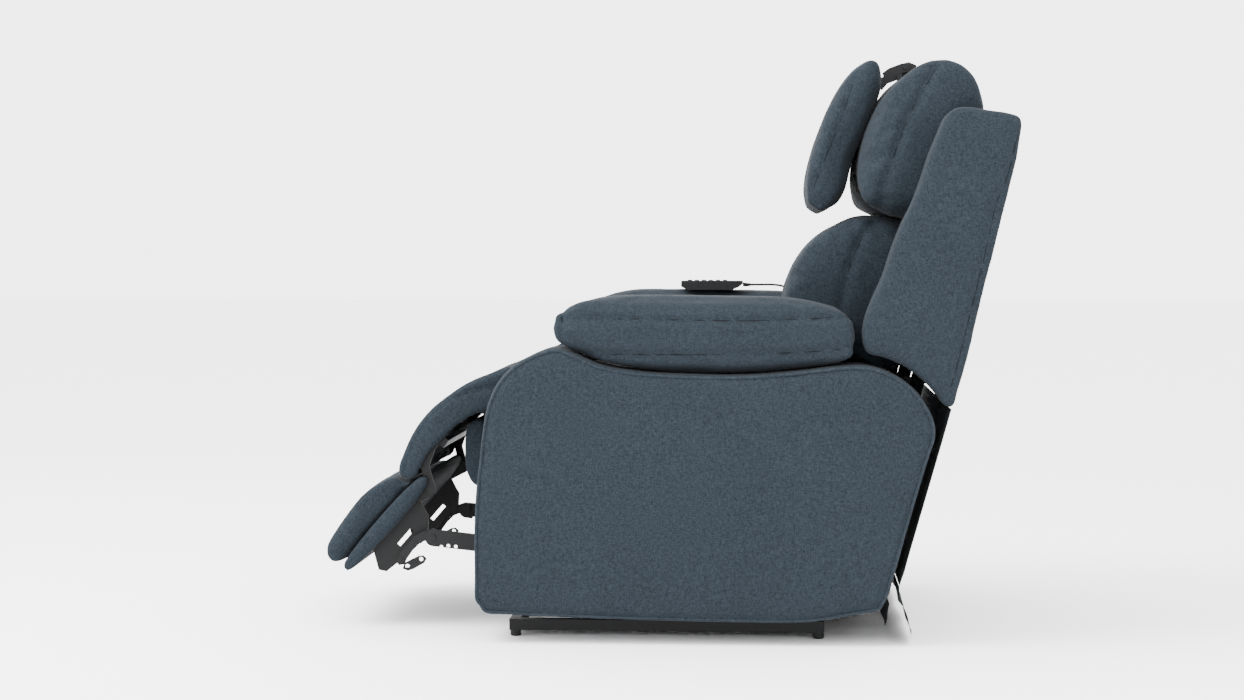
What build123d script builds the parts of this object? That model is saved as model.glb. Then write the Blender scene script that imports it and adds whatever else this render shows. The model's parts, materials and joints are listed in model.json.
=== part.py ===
from build123d import *
import math
import os

# Power lift recliner chair.  Millimetres, +Z up, the sitter faces -Y, +X is the sitter's left.
# Origin: middle of the footprint, on the floor.

os.makedirs("parts", exist_ok=True)

# ---------------------------------------------------------------- driving dimensions
ARM_OUT = 430.0            # outer face of the arms, from the centre plane
ARM_IN = 260.0             # inner face of the arms
PAD_IN, PAD_OUT = 267.0, 428.0      # arm pads
SEAT_HALF = 246.0          # half width of seat cushion and lumbar cushion
BOX_OUT, BOX_IN = 222.0, 198.0      # wooden seat box, side boards
LEG_HALF = 255.0           # half width of the leg-rest pads
WING_IN, WING_OUT = 310.0, 420.0    # padded wings of the back
UPPER_HALF = 302.0         # half width of the upper back cushion
PILLOW_HALF = 250.0        # half width of the head pillow

BACK_HINGE = (362.0, 379.0)         # (Y, Z) recline axis
LEG_HINGE = (-340.0, 430.0)         # leg-rest frame axis at the front of the seat
FOLD_HINGE = (-438.0, 256.0)        # foot board axis at the end of the leg-rest frame
BAR_PIVOT = (-434.0, 167.0)         # front pivot of the push bars
HEAD_HINGE = (444.0, 1047.0)        # head pillow axis
LIFT_A = (240.0, 62.0)              # lower lift arm, base pivot
LIFT_C = (-200.0, 85.0)             # lower lift arm, carriage pivot
LIFT_B = (120.4, 89.2)              # upper lift link, base pivot
LIFT_D = (-240.0, 100.0)            # upper lift link, carriage pivot
LIFT_E, LIFT_F = (-130.0, 58.0), (180.0, 210.0)      # lift actuator, base end and horn end
LEG_E, LEG_F = (235.0, 345.0), (-300.0, 395.0)       # leg-rest actuator
RECL_E, RECL_F = (-285.0, 320.0), (370.0, 320.0)     # recline actuator

PIN_R = 6.0                # pivot pins
RUN = 0.05                 # running clearance of pins, radial
BASE_TUBE = 20.0           # square tube of the floor frame
GLIDE_H = 11.0             # height of the floor glides
CORD_D = 4.5               # handset cord

HANDSET_X = -300.0
HANDSET_Z = 640.0          # top face of the handset
BUTTON_PITCH, BUTTON_COUNT, BUTTON_Y0 = 14.5, 6, 24.0

# ---------------------------------------------------------------- helpers
def face_yz(pts, smooth=False):
    line = Spline(*pts, periodic=True) if smooth else Polyline(*pts, close=True)
    return make_face(Wire([line]) if smooth else line)


def prism(pts, x0, x1, smooth=False):
    """Solid of a closed (Y, Z) outline between two X planes."""
    plane = Plane.YZ.offset(min(x0, x1))
    body = extrude(plane * face_yz(pts, smooth), amount=abs(x1 - x0), dir=(1, 0, 0))
    return body.solid() if len(body.solids()) == 1 else body


def both(make):
    """The same piece on both sides of the centre plane."""
    a = make(1.0)
    b = mirror(a, about=Plane.YZ)
    return [a, b]


def block(x0, x1, y0, y1, z0, z1):
    return Pos((x0 + x1) / 2, (y0 + y1) / 2, (z0 + z1) / 2) * Box(abs(x1 - x0), abs(y1 - y0), abs(z1 - z0))


def xcyl(yz, r, x0, x1):
    return Pos((x0 + x1) / 2, yz[0], yz[1]) * Rot(0, 90, 0) * Cylinder(r, abs(x1 - x0))


def zcyl(x, y, r, z0, z1):
    return Pos(x, y, (z0 + z1) / 2) * Cylinder(r, z1 - z0)


def along(p, q, r, a0, a1, x=0.0):
    """Round bar of radius r on the (Y, Z) line p-q, from a0 to a1 measured from p."""
    d = math.hypot(q[0] - p[0], q[1] - p[1])
    u = ((q[0] - p[0]) / d, (q[1] - p[1]) / d)
    ang = math.degrees(math.atan2(u[1], u[0]))
    m = (a0 + a1) / 2
    return Pos(x, p[0] + u[0] * m, p[1] + u[1] * m) * Rot(ang, 0, 0) * Rot(-90, 0, 0) * Cylinder(r, a1 - a0)


def bar_plate(p, q, half, x0, x1):
    """Flat bar with round ends between two pivots."""
    d = math.hypot(q[0] - p[0], q[1] - p[1])
    ux, uz = (q[0] - p[0]) / d, (q[1] - p[1]) / d
    nx, nz = -uz * half, ux * half
    pts = [(p[0] + nx, p[1] + nz), (q[0] + nx, q[1] + nz), (q[0] - nx, q[1] - nz), (p[0] - nx, p[1] - nz)]
    s = prism(pts, x0, x1)
    return s + xcyl(p, half, x0, x1) + xcyl(q, half, x0, x1)


def soften(s, r, keep=None):
    """Rounds every edge that takes the radius."""
    for rr in (r, r * 0.6, r * 0.3):
        try:
            edges = s.edges() if keep is None else s.edges().filter_by(keep)
            f = fillet(edges, rr)
            if f.is_valid and f.volume > 0:
                return f
        except Exception:
            pass
    return s


def save(name, items):
    items = items if isinstance(items, (list, tuple)) else [items]
    solids = []
    for i in items:
        solids += i.solids() if hasattr(i, "solids") else [i]
    solids = [s for s in solids if s.volume > 1e-3]
    shape = solids[0] if len(solids) == 1 else Compound(children=solids)
    shape.label = name
    export_step(shape, f"parts/{name}.step")


# ================================================================ floor frame (stays on the floor)
save("base_side_rails", both(lambda s: block(320, 340, -281, 291, GLIDE_H, GLIDE_H + BASE_TUBE)
                             - block(322, 338, -282, 292, GLIDE_H + 2, GLIDE_H + BASE_TUBE - 2)))
cross_tubes = [block(-320, 320, -281, -261, 11, 31), block(-320, 320, 271, 291, 11, 31),
               block(-150, 150, -140, -120, 11, 31)]
save("base_inner_rails", both(lambda s: block(150, 170, -261, 271, 11, 31)))
glides = []
for sx in (1, -1):
    for y in (-270, 281):
        g = zcyl(sx * 330, y, 10, 2, GLIDE_H) + zcyl(sx * 330, y, 9, 0, 2)
        glides.append(g)
save("floor_glides", glides)


def base_bracket(s):
    a = prism([(222, 31), (258, 31), (254, 62), (247, 75), (233, 75), (226, 62)], 164, 170) + xcyl(LIFT_A, PIN_R, 164, 181)
    b = prism([(104, 31), (137, 31), (132, 89), (127, 101), (114, 101), (109, 89)], 150, 156) + xcyl(LIFT_B, PIN_R, 139, 156)
    return Compound(children=[a.solid(), b.solid()])


save("lift_base_brackets", both(base_bracket))
clevis = []
for x0, x1 in ((14, 20), (-20, -14)):
    clevis.append((prism([(-140, 31), (-120, 31), (-119, 58), (-123, 68), (-137, 68), (-141, 58)], x0, x1)
                   - xcyl(LIFT_E, PIN_R + RUN, x0 - 1, x1 + 1)).solid())
save("base_cross_tubes", cross_tubes + clevis)

# ================================================================ lift linkage
save("lift_arms", both(lambda s: bar_plate(LIFT_A, LIFT_C, 14, 172, 180)
                       - xcyl(LIFT_A, PIN_R + RUN, 171, 181) - xcyl(LIFT_C, PIN_R + RUN, 171, 181)))
tube_c = (150.0, 66.7)
horn = []
for x0, x1 in ((10, 16), (-16, -10)):
    horn.append(bar_plate(tube_c, LIFT_F, 13, x0, x1))
torque = xcyl(tube_c, 15, -172, 172)
for h in horn:
    torque = torque + h
torque = torque + xcyl(LIFT_F, 5, -22, -10) + xcyl(LIFT_F, 5, 10, 22)
save("lift_torque_tube", torque)
save("lift_links", both(lambda s: bar_plate(LIFT_B, LIFT_D, 11, 140, 148)
                        - xcyl(LIFT_B, PIN_R + RUN, 139, 149) - xcyl(LIFT_D, PIN_R + 1.4, 139, 149)))


def actuator(e, f, x, r, body_len, motor_side, rod_r, eye_x, eye_hole, inside, pin_half=None):
    """Linear actuator on the line e-f: housing with its motor, and the rod with an eye plate at f."""
    d = math.hypot(f[0] - e[0], f[1] - e[1])
    housing = along(e, f, r, 14, body_len, x) + along(e, f, r * 1.28, 16, 62, x)
    housing = housing + xcyl(e, 9, x - 9, x + 9) + along(e, f, 7, 0, 20, x)
    if pin_half:
        housing = housing + xcyl(e, PIN_R, x - pin_half, x + pin_half)
    housing = housing - along(e, f, rod_r + 0.3, body_len - inside - 10 - (45 if rod_r == 8 and x > 0 else 0), body_len + 10, x)
    motor = along(e, f, r * 1.15, 24, 150, x + motor_side * (r * 2.5))
    neck = along(e, f, r * 0.8, 30, 48, x + motor_side * r * 1.2)
    rod = along(e, f, rod_r, body_len - inside, d - eye_hole - 4, x)
    eye = xcyl(f, eye_hole + 6, eye_x[0], eye_x[1])
    hole = xcyl(f, eye_hole, eye_x[0] - 1, eye_x[1] + 1)
    u = ((f[0] - e[0]) / d, (f[1] - e[1]) / d)
    bridge = along(e, f, 5, d - eye_hole - 12, d - eye_hole - 3, (eye_x[0] + eye_x[1]) / 2)
    tie = along(e, f, 6, d - eye_hole - 20, d - eye_hole - 8, x)
    rod = (rod + eye + bridge + tie) - hole
    return housing, motor, rod


# lift actuator: the eye runs between the two horn plates
h, m, r_ = actuator(LIFT_E, LIFT_F, 0, 21, 215, 1, 9, (-6, 6), 13, 130, pin_half=20)
save("lift_actuator", [h, m])
save("lift_actuator_rod", r_)

# ================================================================ carriage (everything the lift raises)
save("carriage_rails", both(lambda s: block(190, 210, -330, 300, 120, 145))
     + both(lambda s: Compound(children=[block(198, 210, -300, -270, 145, 250), block(198, 210, 240, 270, 145, 250)])))
save("carriage_cross_tubes", [block(-190, 190, -265, -240, 120, 145), block(-190, 190, 270, 295, 120, 145)]
     + both(lambda s: block(210, 246, -72, -47, 120, 145)) + both(lambda s: block(210, 246, 208, 233, 120, 145)))


def carriage_bracket(s):
    c = prism([(-222, 120), (-222, 84), (-211, 72), (-189, 72), (-178, 84), (-178, 120)], 182, 189.5) + xcyl(LIFT_C, PIN_R, 171, 189.5)
    d = prism([(-258, 119.8), (-255, 96), (-247, 87), (-233, 87), (-226, 96), (-226, 119.8)], 131, 138) + xcyl(LIFT_D, PIN_R, 131, 149)
    return Compound(children=[c.solid(), d.solid()])


save("lift_carriage_brackets", both(carriage_bracket))


def side_plate(s):
    p = prism([(-300, 112), (300, 112), (340, 160), (380, 240), (377, 370), (372, 392), (352, 392), (349, 366),
               (345, 240), (310, 172), (290, 150), (-300, 150)], 246, 252)
    return p + xcyl(BACK_HINGE, 7, 231, 250)


save("carriage_side_plates", both(side_plate) + both(lambda s: Compound(children=[block(252, 259.7, -260, -200, 116, 146),
                                                           block(252, 259.7, 200, 260, 116, 146)])))

ARM = [(-326.9, 64), (-335.3, 75.4), (-336.8, 114), (-336.9, 142), (-336.8, 211), (-333.9, 265.7), (-328.4, 320.5),
       (-320, 388.9), (-311.7, 427.3), (-292.4, 468.4), (-267.7, 495.5), (-243, 511.8), (-215.7, 524.1),
       (-186.5, 530.4), (-157.1, 520.4), (-106.8, 499.2), (-44.2, 488.8), (60.3, 483.1), (144.1, 483.4),
       (227.2, 489.6), (315.8, 499.6), (347.2, 501.0), (370.7, 499.0), (394, 492.0), (415.9, 482.0), (434.9, 469.0),
       (450.5, 456), (466, 436), (478, 415), (485.0, 397), (487.0, 383), (484.8, 363.3), (480.2, 351.3),
       (422.9, 156.4), (417.3, 136.8), (410.4, 111.9), (405.1, 90.6), (396.5, 74.5), (391.8, 65.1),
       (337.9, 52.3), (278.7, 42.0), (240.7, 39.0), (105.2, 39.5), (-121.4, 43.4), (-269.8, 48.7), (-317.6, 52.5)]
arm_l = soften(prism(ARM, ARM_IN, ARM_OUT), 6, Axis.X)
save("arm_body_left", arm_l)
save("arm_body_right", mirror(arm_l, about=Plane.YZ))

PAD = [(-198.9, 571.8), (-195.3, 587.7), (-186.4, 594.9), (-173.9, 600.2), (-149, 614.4), (-127.7, 618.3),
       (-106.4, 620.3), (69, 620), (226.9, 616.7), (289.1, 608.5), (325.9, 596.2), (342.8, 581.6), (346.0, 552.6),
       (345.3, 513.2), (335.1, 505.6), (227.2, 490.8), (144.1, 484.4), (60.3, 484.1), (-44.2, 489.8), (-106.0, 500.4),
       (-156.3, 521.6), (-186.0, 531.9), (-195, 547.1)]
pad_l = prism(PAD, PAD_IN, PAD_OUT)
save("arm_pad_left", pad_l)
save("arm_pad_right", mirror(pad_l, about=Plane.YZ))

boards = both(lambda s: block(BOX_IN, BOX_OUT, -340, 290, 250, 400))
boards += [block(-BOX_IN, BOX_IN, -340, -322, 262, 386) - block(-88, -52, -345, -318, 350, 390), block(-BOX_IN, BOX_IN, 272, 290, 250, 300)]
save("seat_box_boards", boards)
clevises = [
    block(-90, -50, 255, 271.8, 302, 308) + block(-79.5, -60.5, 262, 290, 300, 308)
    + prism([(222, 302), (275, 302), (275, 330), (240, 358), (230, 358), (222, 350)], -88, -82)
    + prism([(222, 302), (275, 302), (275, 330), (240, 358), (230, 358), (222, 350)], -58, -52)
    + block(-88, -52, 255, 290, 300, 306)
    - xcyl(LEG_E, PIN_R + RUN, -90, -50),
    prism([(-321.8, 300), (-275, 306), (-272, 320), (-275, 334), (-321.8, 340)], 52, 58)
    + prism([(-321.8, 300), (-275, 306), (-272, 320), (-275, 334), (-321.8, 340)], 82, 88)
    + block(52, 88, -321.8, -314, 300, 340)
    - xcyl(RECL_E, PIN_R + RUN, 50, 90),
]

FRONT = [(-341, 262), (-360, 263), (-371.3, 278), (-378, 300), (-378.3, 325), (-377.8, 352), (-374, 372), (-366, 384), (-355, 388), (-341, 388)]
save("seat_front_panel", prism(FRONT, -228, 228) - block(-88, -52, -385, -335, 350, 390))

# seat springs: flat zigzag wires between front and rear boards
springs = []
for x in (-165, -113, -22, 60, 145):
    pts = [Vector(x, -331, 400)]
    y = -318.0
    side = 1
    while y < 265:
        pts.append(Vector(x + side * 22, y, 400))
        y += 26
        pts.append(Vector(x + side * 22, y, 400))
        side = -side
    pts.append(Vector(x, y + 6, 400))
    path = FilletPolyline(*pts, radius=9)
    prof = Plane(origin=path @ 0, z_dir=path % 0) * Circle(1.9)
    springs.append(sweep(prof, path=path))
save("seat_springs", springs)
SEAT = [(-283, 407), (-283, 488), (-262, 491), (-200, 492), (60, 490), (200, 484), (255, 478), (268, 455), (268, 407)]
seat = (prism([(-283, 407), (-283, 453), (268, 453), (268, 407)], -219, 219)
        + prism([(-283, 453), (-283, 486), (-262, 491), (-200, 492), (60, 490), (200, 484), (250, 478), (268, 460), (268, 453)], -SEAT_HALF, SEAT_HALF))
save("seat_cushion", seat)


def leg_hinge_plate(s):
    p = prism([(-352, 430), (-349, 441), (-340, 444), (-331, 441), (-326, 430), (-300, 390), (-300, 330), (-336, 330), (-338.5, 392), (-346, 404)], 222.2, 227.8)
    return p - xcyl(LEG_HINGE, 9 + RUN, 221, 229)


save("seat_box_brackets", clevises + both(leg_hinge_plate))
save("control_box", soften(block(-180, -60, 110, 230, 150, 196), 5))
save("mains_inlet", block(-128, -102, 230, 242, 160, 182) - block(-124, -106, 234, 243, 164, 178))

# ================================================================ back
def line_y(z, y0=415.0, z0=330.0, k=0.27):
    return y0 + k * (z - z0)


def stile(s):
    return prism([(line_y(330), 330), (line_y(922), 922), (line_y(922) + 26, 922), (line_y(330) + 26, 330)], 206, 231.8)


rails = []
for z0, z1 in ((345, 375), (600, 640), (880, 918)):
    rails.append(prism([(line_y(z0) + 4, z0), (line_y(z1) + 4, z1), (line_y(z1) + 22, z1), (line_y(z0) + 22, z0)], -206, 206))
# recline lever in the middle of the lower rail
outer = []
for s in (1, -1):
    outer.append(prism([(line_y(560), 560), (line_y(930), 930), (line_y(930) + 26, 930), (line_y(560) + 26, 560)], s * 290, s * 308))
    outer.append(prism([(line_y(600) + 4, 600), (line_y(640) + 4, 640), (line_y(640) + 22, 640), (line_y(600) + 22, 600)], s * 231.8, s * 290))
    outer.append(prism([(line_y(890) + 4, 890), (line_y(930) + 4, 930), (line_y(930) + 22, 930), (line_y(890) + 22, 890)], s * 231.8, s * 290))
frame_bars = both(stile) + rails + outer


def back_plate(s):
    p = prism([(352, 372), (350, 384), (356, 393), (366, 395), (430, 470), (452, 470), (434, 400), (430, 345), (416, 334), (370, 366)], 232, 238)
    return p - xcyl(BACK_HINGE, 7 + RUN, 231, 239)


save("back_hinge_plates", both(back_plate))
lever = prism([(360, 312), (380, 312), (418.5, 334), (422, 350), (426, 372), (420, 372), (362, 330)], 60, 65) + xcyl(RECL_F, 4, 60, 76)
save("back_frame", frame_bars + [lever - block(50, 80, 421, 480, 300, 400)])

WING = [(502.9, 944.5), (518.3, 955.3), (540.1, 956.8), (571, 951.9), (617.6, 944.1), (631.7, 937.8), (634.9, 928.3),
        (632, 900.4), (627.5, 869.2), (609.6, 790.5), (597.2, 738), (577.2, 656.4), (558.1, 580), (543, 517.1),
        (526, 454.2), (516.0, 424.0), (502.0, 424.0), (487.0, 445.0), (475.5, 458.0), (462.0, 471.0), (444.0, 485.5),
        (424.0, 498.5), (403.0, 508.0), (382.0, 514.2), (362.0, 518.5), (356.9, 531.4), (353.5, 548.4), (358.4, 582.1), (370, 612.4),
        (389.9, 656.3), (406.4, 706.8), (423, 750.4), (441, 788.3), (456.6, 829.3), (472, 875.9), (484.1, 903.8), (499.6, 941.2)]
wing_l = prism(WING, WING_IN, WING_OUT)
save("back_wing_left", wing_l)
save("back_wing_right", mirror(wing_l, about=Plane.YZ))
# padded strips that close the space between lumbar cushion and wings
FILL = [(366, 534), (364, 550), (368.5, 582), (380, 612), (399, 656), (415, 706), (430, 745), (436, 755), (line_y(755) - 2, 755), (line_y(534) - 2, 534)]
save("back_side_fillers", both(lambda s: prism(FILL, 247, 309)))
OUTER = [(519.0, 430), (543, 517.1), (577.2, 656.4), (609.6, 790.5), (627.5, 869.2), (632, 900.4), (634.0, 928.3), (628, 938), (617.6, 943)]
INNER = [(614.5, 931.5), (619, 925), (618, 901), (613.7, 872), (596, 793.5), (563.5, 659.5), (529.5, 520.5), (505.5, 433.5)]
save("back_outside_panel", prism(OUTER + INNER, -WING_IN + 0.6, WING_IN - 0.6))

LUMBAR = [(228, 500), (219, 560), (213, 600), (215.4, 627), (225.7, 654.8), (235.9, 683), (253.3, 710.3), (284, 738.2), (321.9, 759.2),
          (367, 768.5), (390.5, 764.5), (440, 756.0), (500, 752), (527, 752), (line_y(620) - 2, 620), (line_y(500) - 2, 500), (400, 470), (340, 496)]
save("lumbar_cushion", prism(LUMBAR, -SEAT_HALF, SEAT_HALF))
UPPER = [(474.9, 1052.2), (487.4, 1055.8), (505.3, 1055.7), (529.7, 1050.5), (555.3, 1034.4), (571.4, 1011.9), (581, 980),
         (581.2, 961), (line_y(940) - 2, 957), (line_y(930) - 2, 930), (line_y(765) - 2, 762), (431.8, 765.0), (390.1, 772.0), (364.3, 778.6),
         (351.4, 792.9), (348.1, 823), (354.4, 868.1), (366.9, 919.6), (382.8, 958.1), (401.7, 996.9), (421.1, 1015.9), (446.3, 1037.6)]
upper = prism(UPPER, -UPPER_HALF, UPPER_HALF)
for s in (1, -1):
    upper = upper - block(s * 80, s * 120, 425, 470, 1018, 1070)
save("upper_back_cushion", upper)

COVER_OUT = [(515.5, 421), (498.5, 359.4), (440.4, 155.2), (434.6, 134.8), (424.7, 106.6)]
COVER_IN = [(420.4, 108.5), (430.0, 136.2), (435.7, 156.6), (493.8, 360.7), (510.8, 422.3)]
save("back_lower_cover", prism(COVER_OUT + COVER_IN, -408, 408))
save("rear_flap_inner", prism([(407.5, 74), (404.0, 55), (401.5, 40), (398.5, 33), (396.0, 34), (398.4, 41), (400.6, 56), (403.8, 74)], -398, 398))
save("rear_flap_outer", prism([(424.6, 105), (425.5, 88), (433.5, 66), (441.0, 45), (448.5, 12), (445.8, 10), (438.0, 43), (430.5, 64), (422.2, 87), (421.2, 105)], -402, 402))

# ================================================================ head pillow on two flat arms
mount = []
for s in (1, -1):
    mount.append((prism([(438, 1024), (466, 1024), (466, 1052), (452, 1058), (438, 1055)], s * 84, s * 89)
                 + xcyl(HEAD_HINGE, 4, s * 84, s * 101)))
save("headrest_mounts", mount)
arms = []
for s in (1, -1):
    a = prism([(408, 1016), (420, 1030), (436, 1036), (452, 1040), (452, 1054), (436, 1054), (414, 1046), (402, 1037)], s * 92, s * 98)
    arms.append(a - xcyl(HEAD_HINGE, 4 + RUN, s * 91, s * 99))
save("headrest_arms", arms)
PILLOW = [(376.3, 1059.3), (390.9, 1054.9), (401.0, 1045.7), (400.5, 1035.7), (399.0, 1019.5), (391.0, 996.6), (363.5, 922.1), (339.0, 870),
          (328, 818.2), (313.7, 789), (297.7, 770.7), (286.4, 766.7), (271.7, 774.4), (257.8, 785.4), (257, 801.9), (258.8, 834.8),
          (274.4, 896.3), (300.3, 964.6), (329.2, 1016.6), (355.3, 1045.8)]
save("headrest_pillow", prism(PILLOW, -PILLOW_HALF, PILLOW_HALF))

# ================================================================ leg rest
def leg_side(s):
    p = prism([(LEG_HINGE[0] + 10, LEG_HINGE[1] + 9), (LEG_HINGE[0] + 12, LEG_HINGE[1] - 8), (-370, 398), (-402, 370), (-432, 330), (-442, 300),
               (FOLD_HINGE[0] + 9, FOLD_HINGE[1] - 3), (FOLD_HINGE[0], FOLD_HINGE[1] - 9), (FOLD_HINGE[0] - 9, FOLD_HINGE[1] - 2), (-458, 300), (-448, 340), (-414, 384), (-378, 414), (-352, 441)], 231, 237)
    return p - xcyl(FOLD_HINGE, 5 + RUN, 230, 238)


cross = prism([(-424, 340), (-414, 354), (-406, 348), (-416, 334)], -231, 231)
leg_horn = bar_plate(LEG_HINGE, LEG_F, 9, -73, -67) + xcyl(LEG_F, 4, -73, -61)
hinge_tube = xcyl(LEG_HINGE, 9, -231, 231) + leg_horn
save("legrest_frame", both(leg_side) + [cross, hinge_tube])
CH_OUT = [(-286.5, 488.6), (-332.9, 472.7), (-375.8, 454.2), (-405.7, 434.4), (-432.9, 412.7), (-456.3, 387.7), (-476.1, 358.4), (-493.5, 318.4), (-500.7, 294.0), (-500.5, 286.0)]
CH_LOW = [(-473.0, 274), (-460.0, 283.0), (-439.0, 321.0), (-404.5, 358.8), (-376, 381.6), (-335.9, 401.6), (-286.5, 408)]
chaise = prism(CH_OUT + CH_LOW, -LEG_HALF, LEG_HALF)
RECESS = [(-284, 460), (-330, 453), (-357, 444), (-380, 428), (-398, 412), (-414, 393), (-436, 369), (-453, 344), (-468, 311), (-472, 262),
          (-440, 262), (-430, 320), (-395, 358), (-370, 376), (-330, 396), (-284, 400)]
chaise = chaise - prism(RECESS, -247, 247)
save("chaise_pad", chaise)

# ================================================================ foot board
u = (-0.6613, -0.7502)     # down the board
n = (0.7502, -0.6613)      # out of its underside


def board_pt(s, t):
    """Point s down the board from its upper end and t below its upper face."""
    o = (-451.0, 291.0)
    return (o[0] + u[0] * s + n[0] * t, o[1] + u[1] * s + n[1] * t)


board = prism([board_pt(0, 8), board_pt(6, 0), board_pt(232, 0), board_pt(238, 6), board_pt(234, 20), board_pt(0, 20)], -LEG_HALF, LEG_HALF)
for s in (1, -1):
    board = board - block(s * 228.5, s * 241, -480, -425, 240, 310)
save("ottoman_board", board)
FOOT = [(-501.3, 281.0), (-525.2, 272.6), (-562.6, 248.1), (-591.5, 214.8), (-620.5, 174.5), (-638, 140.1), (-632.5, 119.9),
        (-620.8, 111.4), (-606.5, 114)]
FOOT += [board_pt(232, -0.6), board_pt(60, -0.6), board_pt(20, -0.6), (-482.0, 264.0)]
save("foot_pad", prism(FOOT, -LEG_HALF, LEG_HALF))


def ottoman_bracket(s):
    p = prism([board_pt(46, 20.2), board_pt(120, 20.2), board_pt(176, 20.2), (-541, 103), (-526, 100), (-503, 118), (-490, 134),
               (-478, 152), (-456, 168), (-447, 182), (-446, 205), (-452, 215)], 214, 219)
    flange = prism([board_pt(46, 20.2), board_pt(176, 20.2), board_pt(176, 24), board_pt(46, 24)], 196, 219)
    slot = prism([(-506, 152), (-500, 147), (-474, 177), (-480, 182)], 213, 220)
    return p + flange - slot


def fold_ear(s):
    p = prism([board_pt(10, 20.2), board_pt(62, 20.2), board_pt(52, 30), (FOLD_HINGE[0] + 6, FOLD_HINGE[1] - 8), (FOLD_HINGE[0] + 8, FOLD_HINGE[1] + 3),
               (FOLD_HINGE[0] + 2, FOLD_HINGE[1] + 9)], 222, 228)
    return p + xcyl(FOLD_HINGE, 5, 222, 238)


save("ottoman_brackets", both(ottoman_bracket) + both(fold_ear))


def arch(s):
    o = [(-427, 180), (-436, 184), (-456, 177), (-472, 168), (-485, 152), (-497, 138), (-505, 122), (-500, 114), (-490, 116),
         (-484, 128), (-474, 142), (-460, 156), (-446, 162), (-432, 158), (-425, 168)]
    p = prism(o, 232, 236)
    stub = xcyl(BAR_PIVOT, 5, 232, 246)
    rivet = xcyl((-496, 124), 5, 219.2, 238)
    rivet2 = xcyl((-470, 155), 4, 219.2, 238)
    return p + stub + rivet + rivet2


def lever_plate(s):
    p = prism([(-494, 107), (-484, 103), (-474, 106), (-453, 118), (-449, 126), (-455, 132), (-464, 131), (-478, 124), (-490, 118)], 226, 230)
    p = p - xcyl((-459, 125), 4, 225, 231) - prism([(-489, 109), (-482, 109), (-480, 113), (-484, 116), (-489, 114)], 225, 231)
    return p + xcyl((-470, 122), 3, 219.2, 231.8)


save("ottoman_arch_links", both(arch) + both(lever_plate))

BAR_REAR = (-150.0, 136.0)


def push_bar(s):
    b = bar_plate(BAR_PIVOT, BAR_REAR, 16, 239, 243)
    b = b - xcyl(BAR_PIVOT, 5 + RUN, 238, 244)
    for c in ((-419, 150), (-406, 152), (-392, 150.5)):
        b = b - xcyl(c, 3.4, 238, 244)
    return b


save("push_bars", both(push_bar))

# ================================================================ leg-rest and recline actuators
h, m, r_ = actuator(LEG_E, LEG_F, -70, 17, 235, -1, 8, (-66.4, -61.4), 10, 90, pin_half=20)
save("leg_actuator", [h, m])
save("leg_actuator_rod", r_)
h, m, r_ = actuator(RECL_E, RECL_F, 70, 17, 290, 1, 8, (66, 75.5), 10, 60, pin_half=20)
save("recline_actuator", [h, m])
save("recline_actuator_rod", r_)

# ================================================================ handset
case = prism([(7, 640), (6.5, 628), (20, 621.4), (112, 621.4), (125, 627), (133, 633.5), (133.5, 640)], HANDSET_X - 25, HANDSET_X + 25)
for i in range(BUTTON_COUNT):
    y = BUTTON_Y0 + i * BUTTON_PITCH
    case = case - block(HANDSET_X - 9.2, HANDSET_X + 9.2, y - 4.7, y + 4.7, 635.4, 641)
save("handset_case", case)
for i in range(BUTTON_COUNT):
    y = BUTTON_Y0 + i * BUTTON_PITCH
    b = block(HANDSET_X - 9, HANDSET_X + 9, y - 4.5, y + 4.5, 637.2, 642.0)
    b = fillet(b.edges().filter_by(Axis.Z), 3.5)
    b = fillet(b.faces().sort_by(Axis.Z)[-1].edges(), 0.9)
    save(f"handset_button_{i + 1}", b)
EXIT = (HANDSET_X, 133.4, 632.0)
relief = Pos(HANDSET_X, 141.2, 632.0) * Rot(-90, 0, 0) * Cone(4.4, 3.0, 15.6)
save("handset_strain_relief", relief)

# Cord: straight runs joined by tangent arcs, from the strain relief to the clip on the right arm's inner face
ROUTE = [(HANDSET_X, 149.0, 632.0), (HANDSET_X, 171.0, 632.0), (HANDSET_X + 11, 199.0, 632.5), (-270.5, 222.0, 628.5),
         (-257.0, 236.0, 607.0), (-254.0, 236.5, 572.0), (-253.5, 231.5, 532.0), (-253.5, 231.5, 496.2)]
pts = [Vector(*p) for p in ROUTE]
radii = []
for i in range(1, len(pts) - 1):
    a, b = pts[i] - pts[i - 1], pts[i + 1] - pts[i]
    turn = math.radians(a.get_angle(b))
    radii.append(0.45 * min(a.length, b.length) / math.tan(turn / 2))
print("cord arc radii:", [round(r, 1) for r in radii])
path = FilletPolyline(*pts, radius=radii)
prof = Plane(origin=path @ 0, z_dir=path % 0) * Circle(CORD_D / 2)
cord = sweep(prof, path=path)
length = path.length
print("cord length", round(length, 1), "volume", round(cord.volume, 1), "section x length", round(math.pi * (CORD_D / 2) ** 2 * length, 1))
save("handset_cord", cord)
clip = block(-259.7, -247.0, 224.5, 238.5, 482, 496)
save("cord_clip", clip)
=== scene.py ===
import bpy
import bmesh
import json
import math
import numpy as np
from mathutils import Matrix, Vector, noise


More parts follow.
